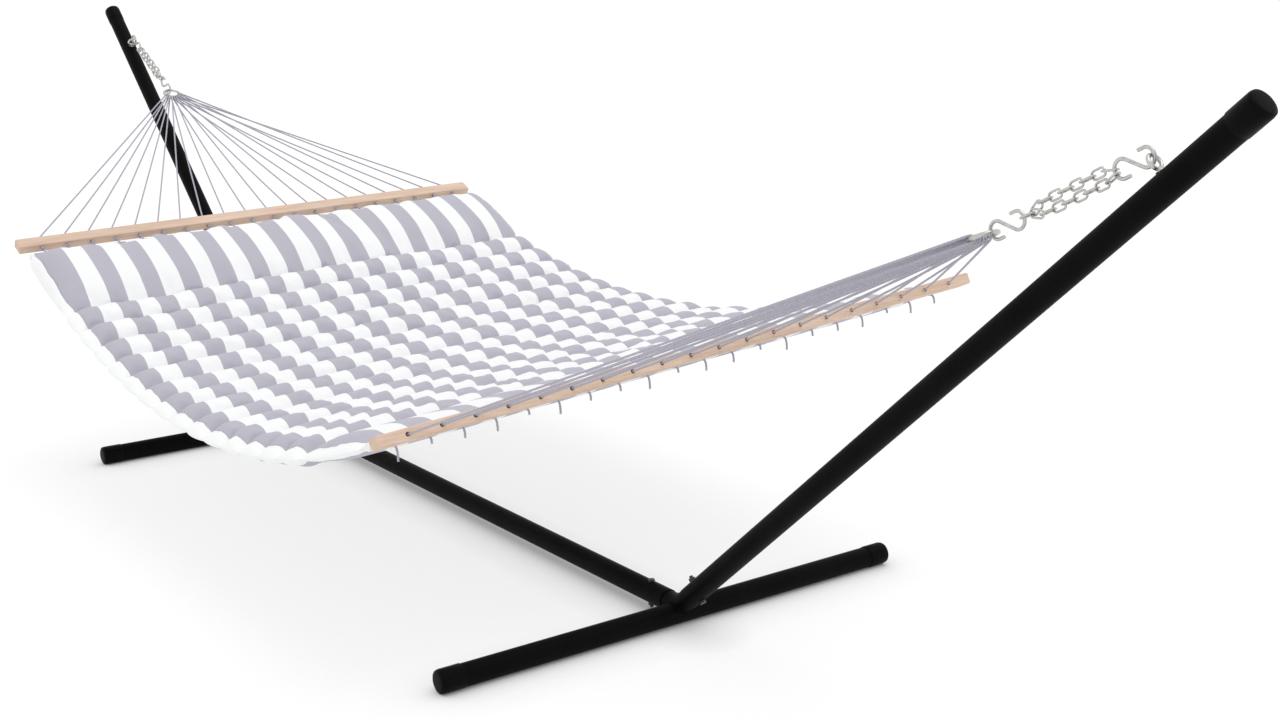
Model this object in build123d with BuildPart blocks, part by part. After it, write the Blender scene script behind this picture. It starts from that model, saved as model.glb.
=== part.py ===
from build123d import *
from math import acos, asin, cos, degrees, pi, radians, sin, sqrt, tan
import os

# Sizes are millimetres and degrees. The origin is on the floor under the middle of the stand,
# +X runs along the beam to the near upright, +Z is up.

# Stand tubes
tube_od = 48.0
tube_wall = 1.5
foot_span = 1910.0
foot_length = 1200.0
beam_rise = 13.0
upright_angle = 41.3
upright_reach = 1775.0
elbow_arm = 42.0
elbow_bend = 90.0
elbow_wall = 2.0
stub_length = 110.0
slip_gap = 0.3
weld_gap = 0.1

# Plastic end caps, moulded flat where they stand on the floor
cap_wall = 1.4
cap_gap = 0.1
cap_length = 55.0
cap_end = 3.0
cap_edge = 2.5
rest_flat = 0.5

# Bolts and nuts
bolt_d = 8.0
bolt_clearance = 0.4
hex_flats = 13.0
head_height = 5.3
nut_height = 6.5
nut_clearance = 0.3
bolt_tail = 5.0
beam_bolt_inset = 62.0
upright_bolt_inset = 38.0

# Eye bolts, screwed into flanged inserts in the uprights' upper walls
eye_along = 1575.0
eye_wire = 7.0
eye_radius = 12.5
insert_flange = 16.0
insert_lip = 1.5
insert_od = 11.0
insert_length = 14.0

# S-hooks, doubled chain and end ring
hang_angle = 27.2
hook_wire = 6.5
hook_inner = 12.0
hook_length = 71.0
hook_tip = 10.0
link_wire = 4.0
link_length = 23.5
link_width = 10.0
link_play = 0.5
strand_links = 8
strand_spread = 9.6
top_spread = 3.4
joiner_width = 10.0
ring_wire = 8.0
ring_radius = 25.0
swing_gap = 0.3
seat_gap = 0.2

# Spreader bars: where each hangs, and how it tilts and turns
bar_length = 1475.0
bar_height = 25.0
bar_depth = 38.0
bar_corner = 4.0
bar_edge = 2.5
far_bar_x = -1134.0
far_bar_z = 632.0
far_roll = 0.9
far_yaw = -2.4
near_bar_x = 1026.0
near_bar_z = 612.0
near_roll = 5.2
near_yaw = 2.4

# Clew cords
cord_d = 4.4
cord_gap = 0.3
cord_count = 10
hole_pitch = 71.0
hole_d = 9.0
ring_step = 15.0
ring_slack = 1.4
mouth_setback = 3.0
loop_setback = 3.3
turn_share = 0.98
tail_drop = 35.0
tail_vary = 9.0
tail_phase = 2.4
tail_back = 25.0
tail_under = 13.0
tail_setback = 6.0
knot_d = 12.5
knot_length = 12.0

# Hem, dowel and quilted pad
dowel_d = 12.0
dowel_setback = 58.0
hem_wall = 2.2
hem_gap = 0.3
hem_reach = 22.0
hem_strip = 5.0
notch_width = 15.0
pad_width = 1400.0
binding_width = 30.0
binding_thick = 10.0
bed_sag = 228.0
end_panel = 300.0
quilt_rows = 14
seam_thick = 6.0
top_crown = 32.0
under_crown = 20.0
edge_crown = 3.0
edge_run = 60.0

# Derived sizes
tube_id = tube_od - 2 * tube_wall
stub_od = tube_id - 2 * slip_gap
cap_bore = tube_od + 2 * cap_gap
cap_od = cap_bore + 2 * cap_wall
foot_z = cap_od / 2 - rest_flat
beam_z = foot_z + beam_rise
foot_x = foot_span / 2
bolt_hole = bolt_d + bolt_clearance
hook_radius = hook_inner + hook_wire / 2
link_pitch = link_length - link_play
strand_sway = link_wire / 2 + seat_gap
hole_count = 2 * cord_count
across = Vector(0, 1, 0)
sides = {"near": 1, "far": -1}


def upright_axes(side):
    lean = radians(upright_angle)
    along = Vector(side * cos(lean), 0, sin(lean))
    inward = Vector(-side * sin(lean), 0, cos(lean))
    return Vector(side * foot_x, 0, beam_z), along, inward


def eye_centre(side):
    corner, along, inward = upright_axes(side)
    offset = tube_od / 2 + insert_lip + eye_wire / 2 + eye_radius
    return corner + along * eye_along + inward * offset


def pull_axes(side):
    hang = radians(hang_angle)
    pull = Vector(-side * cos(hang), 0, -sin(hang))
    rise = Vector(-side * sin(hang), 0, cos(hang))
    crown = eye_centre(side) + upright_axes(side)[2] * eye_radius
    return crown - pull * (eye_wire / 2), pull, rise


def save(part, name):
    part.label = name
    export_step(part, f"parts/{name}.step")


def tube(start, end, outer, inner):
    run = end - start
    with BuildPart() as piece:
        with BuildSketch(Plane(origin=start, z_dir=run)):
            Circle(outer / 2)
            Circle(inner / 2, mode=Mode.SUBTRACT)
        extrude(amount=run.length)
    return piece.part


def drilled(body, centre, axis):
    reach = tube_od
    with BuildPart() as piece:
        add(body)
        with BuildSketch(Plane(origin=centre - axis * reach, z_dir=axis)):
            Circle(bolt_hole / 2)
        extrude(amount=2 * reach, mode=Mode.SUBTRACT)
    return piece.part


def pierced(body, centre, axis):
    with BuildPart() as piece:
        add(body)
        with BuildSketch(Plane(origin=centre, z_dir=axis)):
            Circle((insert_od + bolt_clearance) / 2)
        extrude(amount=tube_od, mode=Mode.SUBTRACT)
    return piece.part


def end_cap(end, outward, stands):
    mouth = end - outward * (cap_length - cap_end)
    with BuildPart() as piece:
        with BuildSketch(Plane(origin=mouth, z_dir=outward)):
            Circle(cap_od / 2)
        extrude(amount=cap_length)
        closed_face = piece.faces().sort_by(Axis(mouth, outward))[-1]
        fillet(closed_face.edges(), radius=cap_edge)
        with BuildSketch(Plane(origin=mouth, z_dir=outward)):
            Circle(cap_bore / 2)
        extrude(amount=cap_length - cap_end, mode=Mode.SUBTRACT)
        if stands:
            with Locations((mouth + end) / 2 - Vector(0, 0, foot_z + cap_od / 2)):
                Box(cap_od, 4 * cap_length, cap_od, mode=Mode.SUBTRACT)
    return piece.part


def hex_bolt(seat, axis, grip):
    with BuildPart() as piece:
        with BuildSketch(Plane(origin=seat, z_dir=axis)):
            RegularPolygon(hex_flats / 2, 6, major_radius=False)
        extrude(amount=-head_height)
        with BuildSketch(Plane(origin=seat, z_dir=axis)):
            Circle(bolt_d / 2)
        extrude(amount=grip + nut_height + bolt_tail)
    return piece.part


def hex_nut(seat, axis):
    with BuildPart() as piece:
        with BuildSketch(Plane(origin=seat, z_dir=axis)):
            RegularPolygon(hex_flats / 2, 6, major_radius=False)
            Circle((bolt_d + nut_clearance) / 2, mode=Mode.SUBTRACT)
        extrude(amount=nut_height)
    return piece.part


def eye_insert(seat, axis):
    with BuildPart() as piece:
        with BuildSketch(Plane(origin=seat, z_dir=axis)):
            Circle(insert_flange / 2)
        extrude(amount=insert_lip)
        with BuildSketch(Plane(origin=seat, z_dir=axis)):
            Circle(insert_od / 2)
        extrude(amount=-insert_length)
        with BuildSketch(Plane(origin=seat + axis * insert_lip, z_dir=axis)):
            Circle((bolt_d + nut_clearance) / 2)
        extrude(amount=-insert_lip - insert_length, mode=Mode.SUBTRACT)
    return piece.part


def elbow(side):
    corner, along, _ = upright_axes(side)
    inboard = Vector(-side, 0, 0)
    reach = elbow_arm + stub_length
    with BuildPart() as piece:
        with BuildLine() as path:
            FilletPolyline(corner + inboard * reach, corner, corner + along * reach, radius=elbow_bend)
        with BuildSketch(Plane(origin=corner + inboard * reach, z_dir=-inboard)):
            Circle(stub_od / 2)
            Circle(stub_od / 2 - elbow_wall, mode=Mode.SUBTRACT)
        sweep(path=path.wire())
        foot_start = Vector(side * foot_x, -foot_length / 2, foot_z)
        with BuildSketch(Plane(origin=foot_start, z_dir=across)):
            Circle(tube_od / 2 + weld_gap)
        extrude(amount=foot_length, mode=Mode.SUBTRACT)
    return piece.part


def eye_bolt(side):
    _, along, inward = upright_axes(side)
    centre = eye_centre(side)
    root = centre - inward * eye_radius
    shank = eye_wire / 2 + insert_lip + insert_length + bolt_tail
    with BuildPart() as piece:
        with BuildSketch(Plane(origin=root, z_dir=-inward)):
            Circle(bolt_d / 2)
        extrude(amount=shank)
        with Locations(Plane(origin=centre, z_dir=along)):
            Torus(eye_radius, eye_wire / 2)
    return piece.part


def s_hook(crown, pull, rise):
    reach = hook_length - hook_inner
    lean = degrees(acos(2 * hook_radius / (reach - hook_inner)))
    plane = Plane(origin=crown, x_dir=pull, z_dir=pull.cross(rise))
    with BuildPart() as piece:
        with BuildLine(plane) as path:
            Line((hook_inner + hook_tip, hook_radius), (hook_inner, hook_radius))
            CenterArc((hook_inner, 0), hook_radius, 90, 90)
            upper = CenterArc((hook_inner, 0), hook_radius, 180, 180 - lean)
            lower = CenterArc((reach, 0), hook_radius, 180 - lean, lean - 180)
            Line(upper @ 1, lower @ 0)
            CenterArc((reach, 0), hook_radius, 0, -90)
            Line((reach, -hook_radius), (reach - hook_tip, -hook_radius))
        start = crown + pull * (hook_inner + hook_tip) + rise * hook_radius
        with BuildSketch(Plane(origin=start, z_dir=-pull)):
            Circle(hook_wire / 2)
        sweep(path=path.wire())
    return piece.part


def nested(bend, offset):
    play = bend - link_wire / 2
    return play - sqrt(play**2 - offset**2)


def chain_link(top, bottom, width_axis, width):
    middle = (top + bottom) / 2
    along = (bottom - top).normalized()
    bend = (width + link_wire) / 2
    straight = (link_length + link_wire) / 2 - bend
    plane = Plane(origin=middle, x_dir=along, z_dir=along.cross(width_axis))
    with BuildPart() as piece:
        with BuildLine(plane) as path:
            Line((0, bend), (straight, bend))
            CenterArc((straight, 0), bend, 90, -90)
            CenterArc((straight, 0), bend, 0, -90)
            Line((straight, -bend), (0, -bend))
        with BuildSketch(Plane(origin=plane.from_local_coords((0, bend, 0)), z_dir=along)):
            Circle(link_wire / 2)
        sweep(path=path.wire())
        mirror(about=Plane(origin=middle, z_dir=along))
    return piece.part


def strand_joints():
    spreads = [top_spread] + [strand_spread] * (strand_links - 1) + [0]
    sways = [0] * (strand_links - 1) + [strand_sway] * 2
    joints = [(0, spreads[0], sways[0])]
    for spread, sway in zip(spreads[1:], sways[1:]):
        run, last_spread, last_sway = joints[-1]
        step = sqrt(link_pitch**2 - (spread - last_spread) ** 2 - (sway - last_sway) ** 2)
        joints.append((run + step, spread, sway))
    return joints


def joiner_run():
    return strand_joints()[-1][0] - nested(joiner_width / 2, strand_sway)


def chain(first, pull, rise):
    links = []
    for hand in (1, -1):
        joints = [
            first + pull * run + (rise * spread + across * sway) * hand
            for run, spread, sway in strand_joints()
        ]
        for index, (top, bottom) in enumerate(zip(joints, joints[1:])):
            flat_axis = across if index % 2 == 0 else (bottom - top).cross(across).normalized()
            links.append(chain_link(top, bottom, flat_axis, link_width))
    joined = first + pull * joiner_run()
    links.append(chain_link(joined, joined + pull * link_pitch, across, joiner_width))
    return links


def hardware(side):
    contact, pull, rise = pull_axes(side)
    upper_crown = contact - pull * swing_gap
    link_seat = upper_crown + pull * (hook_length - seat_gap - nested(hook_inner, top_spread))
    chain_run = joiner_run() + link_pitch
    lower_crown = link_seat + pull * (chain_run - seat_gap)
    ring_top = lower_crown + pull * (hook_length - seat_gap - ring_wire / 2)
    return upper_crown, link_seat, lower_crown, ring_top, pull, rise


class End:
    def __init__(self, side):
        near = side > 0
        bar_x = near_bar_x if near else far_bar_x
        bar_z = near_bar_z if near else far_bar_z
        self.roll = radians(near_roll if near else far_roll)
        self.yaw = radians(near_yaw if near else far_yaw)
        self.bar = Vector(bar_x, 0, bar_z)
        ring_top = hardware(side)[3]
        self.clew = (self.bar - ring_top).normalized()
        self.ring = ring_top + self.clew * ring_radius
        self.lift = Vector(-side * abs(self.clew.Z), 0, abs(self.clew.X))
        self.length_axis = Vector(tan(self.yaw), 1, tan(self.roll)).normalized()
        lean = self.clew - self.length_axis * self.clew.dot(self.length_axis)
        self.bedward = lean.normalized()
        self.upward = self.length_axis.cross(self.bedward) * side

    def station(self, index):
        return self.length_axis * ((index - (hole_count - 1) / 2) * hole_pitch)


ends = {name: End(side) for name, side in sides.items()}

# The bed's middle line is one arc from bar to bar, measured along its length
far_to_near = ends["near"].bar - ends["far"].bar
bed_span = far_to_near.length
bed_radius = (bed_span**2 / 4 + bed_sag**2) / (2 * bed_sag)
bed_half_angle = asin(bed_span / 2 / bed_radius)
bed_length = 2 * bed_half_angle * bed_radius
span_axis = far_to_near.normalized()
span_up = Vector(-span_axis.Z, 0, span_axis.X)
bed_middle = (ends["near"].bar + ends["far"].bar) / 2
bed_centre = bed_middle + span_up * (bed_radius - bed_sag)
pad_start = dowel_setback + hem_reach
pad_run = bed_length - 2 * pad_start


def bed_point(run, y, height):
    turn = run / bed_radius - bed_half_angle
    normal = span_up * cos(turn) - span_axis * sin(turn)
    share = min(max((run - pad_start) / pad_run, 0), 1)
    far, near = ends["far"], ends["near"]
    yaw = far.yaw + (near.yaw - far.yaw) * share
    roll = far.roll + (near.roll - far.roll) * share
    middle = bed_centre - normal * (bed_radius - height)
    return Vector(middle.X + y * tan(yaw), y, middle.Z + y * tan(roll))


def dowel_centre(name):
    run = dowel_setback if name == "far" else bed_length - dowel_setback
    return bed_point(run, 0, 0)


def spreader_bar(end):
    plane = Plane(origin=end.bar - end.bedward * (bar_depth / 2), x_dir=end.length_axis, z_dir=end.bedward)
    with BuildPart() as piece:
        with BuildSketch(plane):
            RectangleRounded(bar_length, bar_height, bar_corner)
        extrude(amount=bar_depth)
        faces = piece.faces().sort_by(Axis(end.bar, end.bedward))
        fillet(faces[0].edges() + faces[-1].edges(), radius=bar_edge)
        with BuildSketch(plane):
            with GridLocations(hole_pitch, 0, hole_count, 1):
                Circle(hole_d / 2)
        extrude(amount=bar_depth, mode=Mode.SUBTRACT)
    return piece.part


def strand_points(end, dowel, index):
    station = end.station(index)
    wrap = dowel_d / 2 + cord_d / 2 + cord_gap
    hole = end.bar + station
    peg = dowel + station
    mouth = hole - end.bedward * (bar_depth / 2)
    behind_knot = hole + end.bedward * (bar_depth / 2 + knot_length + 2 * loop_setback)
    over = peg + end.upward * wrap - end.bedward * (wrap / 2)
    past_top = peg + (end.bedward + end.upward) * wrap
    past_bottom = peg + (end.bedward - end.upward) * wrap
    tail_top = peg - end.bedward * tail_back - end.upward * tail_under
    tail_end = tail_top - Vector(0, 0, tail_drop + tail_vary * cos(tail_phase * index))
    return [tail_end, tail_top, past_bottom, past_top, over, behind_knot, mouth]


def clew_cord(end, dowel, index):
    swing = radians((index - (cord_count - 1) / 2) * ring_step)
    on_ring = end.ring + (end.clew * cos(swing) + across * sin(swing)) * ring_radius
    target = end.bar + (end.station(2 * index) + end.station(2 * index + 1)) / 2
    away = (target - on_ring).normalized()
    slant = abs((end.clew * cos(swing) + across * sin(swing)).dot(away))
    over = ring_wire / 2 + cord_d / 2 + cord_gap
    back = ring_wire / 2 / slant + cord_d / 2 + ring_slack
    upper_turn = on_ring + end.lift * over - away * back
    lower_turn = on_ring - end.lift * over - away * back
    first = strand_points(end, dowel, 2 * index)
    second = strand_points(end, dowel, 2 * index + 1)
    route = first + [upper_turn, lower_turn] + second[::-1]
    wrap = dowel_d / 2 + cord_d / 2 + cord_gap
    wrap_turn = turn_share * wrap
    ring_turn = turn_share * over
    half = [tail_setback, wrap_turn, wrap_turn, loop_setback, loop_setback, mouth_setback]
    setbacks = half + [ring_turn, ring_turn] + half[::-1]
    radii = []
    for before, point, after, setback in zip(route, route[1:], route[2:], setbacks):
        turn = radians((point - before).get_angle(after - point))
        radii.append(setback / tan(turn / 2))
    with BuildPart() as piece:
        with BuildLine() as path:
            FilletPolyline(*route, radius=radii)
        wire = path.wire()
        with BuildSketch(Plane(origin=route[0], z_dir=route[1] - route[0])):
            Circle(cord_d / 2)
        sweep(path=wire)
    return piece.part, wire.length, min(radii)


def knot(end, index):
    start = end.bar + end.station(index) + end.bedward * (bar_depth / 2 + seat_gap)
    plane = Plane(origin=start, z_dir=end.bedward)
    with BuildPart() as piece:
        with BuildSketch(plane):
            Circle(knot_d / 2)
        extrude(amount=knot_length)
        rims = piece.edges().filter_by(GeomType.CIRCLE)
        fillet(rims, radius=knot_length / 3)
        with BuildSketch(plane):
            Circle(cord_d / 2 + cord_gap)
        extrude(amount=knot_length, mode=Mode.SUBTRACT)
    return piece.part


def hem(end, dowel):
    half = pad_width / 2
    bore = dowel_d / 2 + hem_gap
    outer = bore + hem_wall
    loop_reach = dowel_d / 2 + 1.5 * cord_d + 2 * cord_gap
    plane = Plane(origin=dowel - end.length_axis * half, x_dir=end.bedward, z_dir=end.length_axis)
    with BuildPart() as piece:
        with BuildSketch(plane):
            Circle(outer)
            with Locations(((hem_reach - hem_gap) / 2, 0)):
                Rectangle(hem_reach - hem_gap, hem_strip)
            Circle(bore, mode=Mode.SUBTRACT)
        extrude(amount=pad_width)
        for index in range(hole_count):
            place = Plane(origin=dowel + end.station(index), x_dir=end.bedward, z_dir=end.length_axis)
            with BuildSketch(place.offset(-notch_width / 2)):
                with Locations(((loop_reach - 2 * outer) / 2, 0)):
                    Rectangle(loop_reach + 2 * outer, 3 * outer)
            extrude(amount=notch_width, mode=Mode.SUBTRACT)
    return piece.part


def hem_dowel(end, dowel):
    half = end.length_axis * (pad_width / 2)
    with BuildPart() as piece:
        with BuildSketch(Plane(origin=dowel - half, z_dir=end.length_axis)):
            Circle(dowel_d / 2)
        extrude(amount=pad_width)
    return piece.part


def flat(point):
    return point.X, point.Z


def pad_seams():
    pitch = (pad_run - 2 * end_panel) / quilt_rows
    rows = [pad_start + end_panel + pitch * row for row in range(quilt_rows + 1)]
    return [pad_start] + rows + [pad_start + pad_run]


def quilted_pad():
    seams = pad_seams()
    half = seam_thick / 2
    rim = pad_width / 2 - binding_width - hem_gap
    with BuildPart() as piece:
        for y, share in ((-rim, 0), (edge_run - rim, 1), (rim - edge_run, 1), (rim, 0)):
            crown = half + edge_crown + (top_crown - edge_crown) * share
            under = half + edge_crown + (under_crown - edge_crown) * share
            with BuildSketch(Plane.XZ.offset(-y)):
                with BuildLine():
                    for left, right in zip(seams, seams[1:]):
                        middle = (left + right) / 2
                        for seam, swell in ((half, crown), (-half, -under)):
                            ThreePointArc(
                                flat(bed_point(left, y, seam)),
                                flat(bed_point(middle, y, swell)),
                                flat(bed_point(right, y, seam)),
                            )
                    for run in (seams[0], seams[-1]):
                        Line(flat(bed_point(run, y, half)), flat(bed_point(run, y, -half)))
                make_face()
        loft(ruled=True)
    return piece.part


def side_binding(hand):
    half = binding_thick / 2
    run_end = pad_start + pad_run
    inner = pad_width / 2 - binding_width
    with BuildPart() as piece:
        for y in (hand * inner, hand * pad_width / 2):
            with BuildSketch(Plane.XZ.offset(-y)):
                with BuildLine():
                    for height in (half, -half):
                        ThreePointArc(
                            flat(bed_point(pad_start, y, height)),
                            flat(bed_point(bed_length / 2, y, height)),
                            flat(bed_point(run_end, y, height)),
                        )
                    for run in (pad_start, run_end):
                        Line(flat(bed_point(run, y, half)), flat(bed_point(run, y, -half)))
                make_face()
        loft(ruled=True)
    return piece.part


def group(parts):
    return Compound(children=parts)


os.makedirs("parts", exist_ok=True)

# Stand
beam_end = foot_x - elbow_arm
beam_bolt_x = beam_end - beam_bolt_inset
upright_bolt_at = elbow_arm + upright_bolt_inset
beam_tube = tube(Vector(-beam_end, 0, beam_z), Vector(beam_end, 0, beam_z), tube_od, tube_id)
beam_bolts, beam_nuts, upright_bolts, upright_nuts = [], [], [], []
eye_inserts = []
down = Vector(0, 0, -1)
for name, side in sides.items():
    corner, along, inward = upright_axes(side)
    foot_half = Vector(0, foot_length / 2 - cap_end, 0)
    foot_mid = Vector(side * foot_x, 0, foot_z)
    save(tube(foot_mid - foot_half, foot_mid + foot_half, tube_od, tube_id), f"foot_{name}")
    caps = [end_cap(foot_mid + foot_half * hand, across * hand, True) for hand in (1, -1)]
    save(group(caps), f"foot_caps_{name}")
    top = corner + along * (upright_reach - cap_end)
    save(end_cap(top, along, False), f"top_cap_{name}")
    beam_bolt = Vector(side * beam_bolt_x, 0, beam_z)
    upright_bolt = corner + along * upright_bolt_at
    eye_place = corner + along * eye_along
    bent = drilled(elbow(side), beam_bolt, down)
    save(drilled(bent, upright_bolt, inward), f"elbow_{name}")
    beam_tube = drilled(beam_tube, beam_bolt, down)
    leaning = drilled(tube(corner + along * elbow_arm, top, tube_od, tube_id), upright_bolt, inward)
    save(pierced(leaning, eye_place, inward), f"upright_{name}")
    radius = tube_od / 2
    beam_bolts.append(hex_bolt(beam_bolt - down * radius, down, tube_od))
    beam_nuts.append(hex_nut(beam_bolt + down * radius, down))
    upright_bolts.append(hex_bolt(upright_bolt - inward * radius, inward, tube_od))
    upright_nuts.append(hex_nut(upright_bolt + inward * radius, inward))
    save(eye_bolt(side), f"eye_bolt_{name}")
    eye_inserts.append(eye_insert(eye_place + inward * radius, inward))
save(beam_tube, "beam")
save(group(beam_bolts), "beam_bolts")
save(group(beam_nuts), "beam_nuts")
save(group(upright_bolts), "upright_bolts")
save(group(upright_nuts), "upright_nuts")
save(group(eye_inserts), "eye_inserts")

# Hanging hardware, spreader bars, clews and hems
for name, side in sides.items():
    end = ends[name]
    dowel = dowel_centre(name)
    upper_crown, link_seat, lower_crown, _, pull, rise = hardware(side)
    save(s_hook(upper_crown, pull, rise), f"upper_hook_{name}")
    save(group(chain(link_seat, pull, rise)), f"chain_{name}")
    save(s_hook(lower_crown, pull, rise), f"lower_hook_{name}")
    with BuildPart() as ring:
        with Locations(Plane(origin=end.ring, z_dir=end.lift)):
            Torus(ring_radius, ring_wire / 2)
    save(ring.part, f"ring_{name}")
    save(spreader_bar(end), f"spreader_bar_{name}")
    cords = [clew_cord(end, dowel, index) for index in range(cord_count)]
    section = pi * cord_d**2 / 4
    for cord, length, bend in cords:
        ratio = cord.volume / (section * length)
        print(f"{name} cord {length:.0f} mm, least bend {bend:.1f} mm, volume ratio {ratio:.4f}")
    save(group([cord for cord, _, _ in cords]), f"cords_{name}")
    save(group([knot(end, index) for index in range(hole_count)]), f"knots_{name}")
    save(hem_dowel(end, dowel), f"hem_dowel_{name}")
    save(hem(end, dowel), f"hem_{name}")

# Quilted pad
save(quilted_pad(), "quilted_pad")
save(side_binding(-1), "side_binding_left")
save(side_binding(1), "side_binding_right")
contact = pull_axes(1)[0]
print(f"bed {bed_length:.0f} mm bar to bar, swing axis at z {contact.Z:.2f}, contact x {contact.X:.2f}")
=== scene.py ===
import bpy
import math
import numpy as np
from mathutils import Matrix, Vector


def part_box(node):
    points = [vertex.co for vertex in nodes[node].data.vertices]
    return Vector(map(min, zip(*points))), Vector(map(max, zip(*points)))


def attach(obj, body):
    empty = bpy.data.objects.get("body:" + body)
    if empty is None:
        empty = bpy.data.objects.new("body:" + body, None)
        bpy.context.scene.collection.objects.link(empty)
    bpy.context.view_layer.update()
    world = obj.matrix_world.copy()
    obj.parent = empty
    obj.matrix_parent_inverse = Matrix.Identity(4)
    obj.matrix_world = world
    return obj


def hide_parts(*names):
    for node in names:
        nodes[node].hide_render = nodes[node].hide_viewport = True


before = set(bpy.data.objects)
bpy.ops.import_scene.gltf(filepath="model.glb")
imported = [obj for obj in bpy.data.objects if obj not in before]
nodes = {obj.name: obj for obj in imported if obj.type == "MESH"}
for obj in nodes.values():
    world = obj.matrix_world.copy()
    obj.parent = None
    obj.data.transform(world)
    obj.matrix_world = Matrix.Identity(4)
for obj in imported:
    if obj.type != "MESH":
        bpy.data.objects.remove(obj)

for name in ("Cube", "Light", "Camera"):
    if name in bpy.data.objects:
        bpy.data.objects.remove(bpy.data.objects[name])
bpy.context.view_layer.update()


# Where the hammock hangs, read from the frame

bed = {  # metres and degrees
    "nearRoll": 5.2, "nearYaw": 2.4, "farRoll": 0.9, "farYaw": -2.4,
    "sag": 0.228, "padStart": 0.080, "endPanel": 0.300, "rows": 14,
    "width": 1.440, "binding": 0.012, "stripes": 27, "holes": 20, "holePitch": 0.071,
}


def unit(vector):
    return vector / np.linalg.norm(vector)


def middle(node):
    low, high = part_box(node)
    return np.array((low + high) / 2)


class End:
    def __init__(self, name):
        self.name = name
        self.side = 1 if name == "near" else -1
        self.roll = math.radians(bed[name + "Roll"])
        self.yaw = math.radians(bed[name + "Yaw"])
        self.bar = middle("spreader_bar_" + name)
        self.ring = middle("ring_" + name)
        self.dowel = middle("hem_dowel_" + name)
        self.clew = unit(self.bar - self.ring)
        self.lift = np.array((-self.side * abs(self.clew[2]), 0, abs(self.clew[0])))
        self.lengthAxis = unit(np.array((math.tan(self.yaw), 1, math.tan(self.roll))))
        self.bedward = unit(self.clew - self.lengthAxis * self.clew.dot(self.lengthAxis))
        self.upward = np.cross(self.lengthAxis, self.bedward) * self.side

    def station(self, index):
        return self.lengthAxis * ((index - (bed["holes"] - 1) / 2) * bed["holePitch"])


near, far = End("near"), End("far")
span = near.bar - far.bar
spanLength = np.linalg.norm(span)
spanAxis = unit(span)
spanUp = np.array((-spanAxis[2], 0, spanAxis[0]))
bedRadius = (spanLength**2 / 4 + bed["sag"] ** 2) / (2 * bed["sag"])
bedHalfAngle = math.asin(spanLength / 2 / bedRadius)
bedLength = 2 * bedHalfAngle * bedRadius
bedCentre = (near.bar + far.bar) / 2 + spanUp * (bedRadius - bed["sag"])
padRun = bedLength - 2 * bed["padStart"]
padEnd = bed["padStart"] + padRun


def bedPoint(run, y, height):  # arrays of the same shape give an array of points
    run, y, height = np.broadcast_arrays(run, y, height)
    turn = run / bedRadius - bedHalfAngle
    normal = np.cos(turn)[..., None] * spanUp - np.sin(turn)[..., None] * spanAxis
    share = np.clip((run - bed["padStart"]) / padRun, 0, 1)
    yaw = far.yaw + (near.yaw - far.yaw) * share
    roll = far.roll + (near.roll - far.roll) * share
    point = bedCentre - normal * (bedRadius - height)[..., None]
    point[..., 0] += y * np.tan(yaw)
    point[..., 1] = y
    point[..., 2] += y * np.tan(roll)
    return point


def padSeams():
    pitch = (padRun - 2 * bed["endPanel"]) / bed["rows"]
    first = bed["padStart"] + bed["endPanel"]
    rows = [first + pitch * row for row in range(bed["rows"] + 1)]
    return [bed["padStart"]] + rows + [padEnd]


# Materials

def newMaterial(name):
    material = bpy.data.materials.new(name)
    material.use_nodes = True
    tree = material.node_tree
    return material, tree, tree.nodes["Principled BSDF"]


def setInputs(tree, node, inputs):
    for socket, value in inputs.items():
        if isinstance(value, bpy.types.NodeSocket):
            tree.links.new(value, node.inputs[socket])
        else:
            node.inputs[socket].default_value = value


def addNode(tree, kind, inputs=(), **settings):
    node = tree.nodes.new(kind)
    for key, value in settings.items():
        setattr(node, key, value)
    setInputs(tree, node, dict(inputs))
    return node


def maths(tree, operation, *values):
    return addNode(tree, "ShaderNodeMath", dict(enumerate(values)), operation=operation).outputs[0]


def coordinates(tree, source, scale=(1, 1, 1)):
    place = addNode(tree, "ShaderNodeTexCoord").outputs[source]
    return addNode(tree, "ShaderNodeMapping", {"Vector": place, "Scale": scale}).outputs["Vector"]


def grain(tree, vector, scale, detail=3.0, roughness=0.6):
    sockets = {"Vector": vector, "Scale": scale, "Detail": detail, "Roughness": roughness}
    return addNode(tree, "ShaderNodeTexNoise", sockets).outputs["Fac"]


def ramp(tree, factor, stops):
    node = addNode(tree, "ShaderNodeValToRGB", {"Fac": factor})
    elements = node.color_ramp.elements
    while len(elements) < len(stops):
        elements.new(0.5)
    for element, (place, colour) in zip(elements, stops):
        element.position = place
        element.color = (*colour, 1)
    return node.outputs["Color"]


def mixColours(tree, factor, first, second, blend="MIX"):
    sockets = {"Factor": factor, 6: first, 7: second}  # 6 and 7 are the two colours
    return addNode(tree, "ShaderNodeMix", sockets, data_type="RGBA", blend_type=blend).outputs[2]


def bump(tree, shader, height, strength, distance):
    sockets = {"Height": height, "Strength": strength, "Distance": distance}
    tree.links.new(addNode(tree, "ShaderNodeBump", sockets).outputs["Normal"], shader.inputs["Normal"])


def powderCoat():
    material, tree, shader = newMaterial("powderCoat")
    where = coordinates(tree, "Object")
    dim, lit = (0.0020, 0.0020, 0.0021), (0.0034, 0.0034, 0.0035)
    tone = ramp(tree, grain(tree, where, 9), [(0.3, dim), (0.7, lit)])
    setInputs(tree, shader, {"Base Color": tone, "Roughness": 0.50, "Specular IOR Level": 0.04})
    bump(tree, shader, grain(tree, where, 900, 2), 0.25, 0.0004)
    return material


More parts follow.
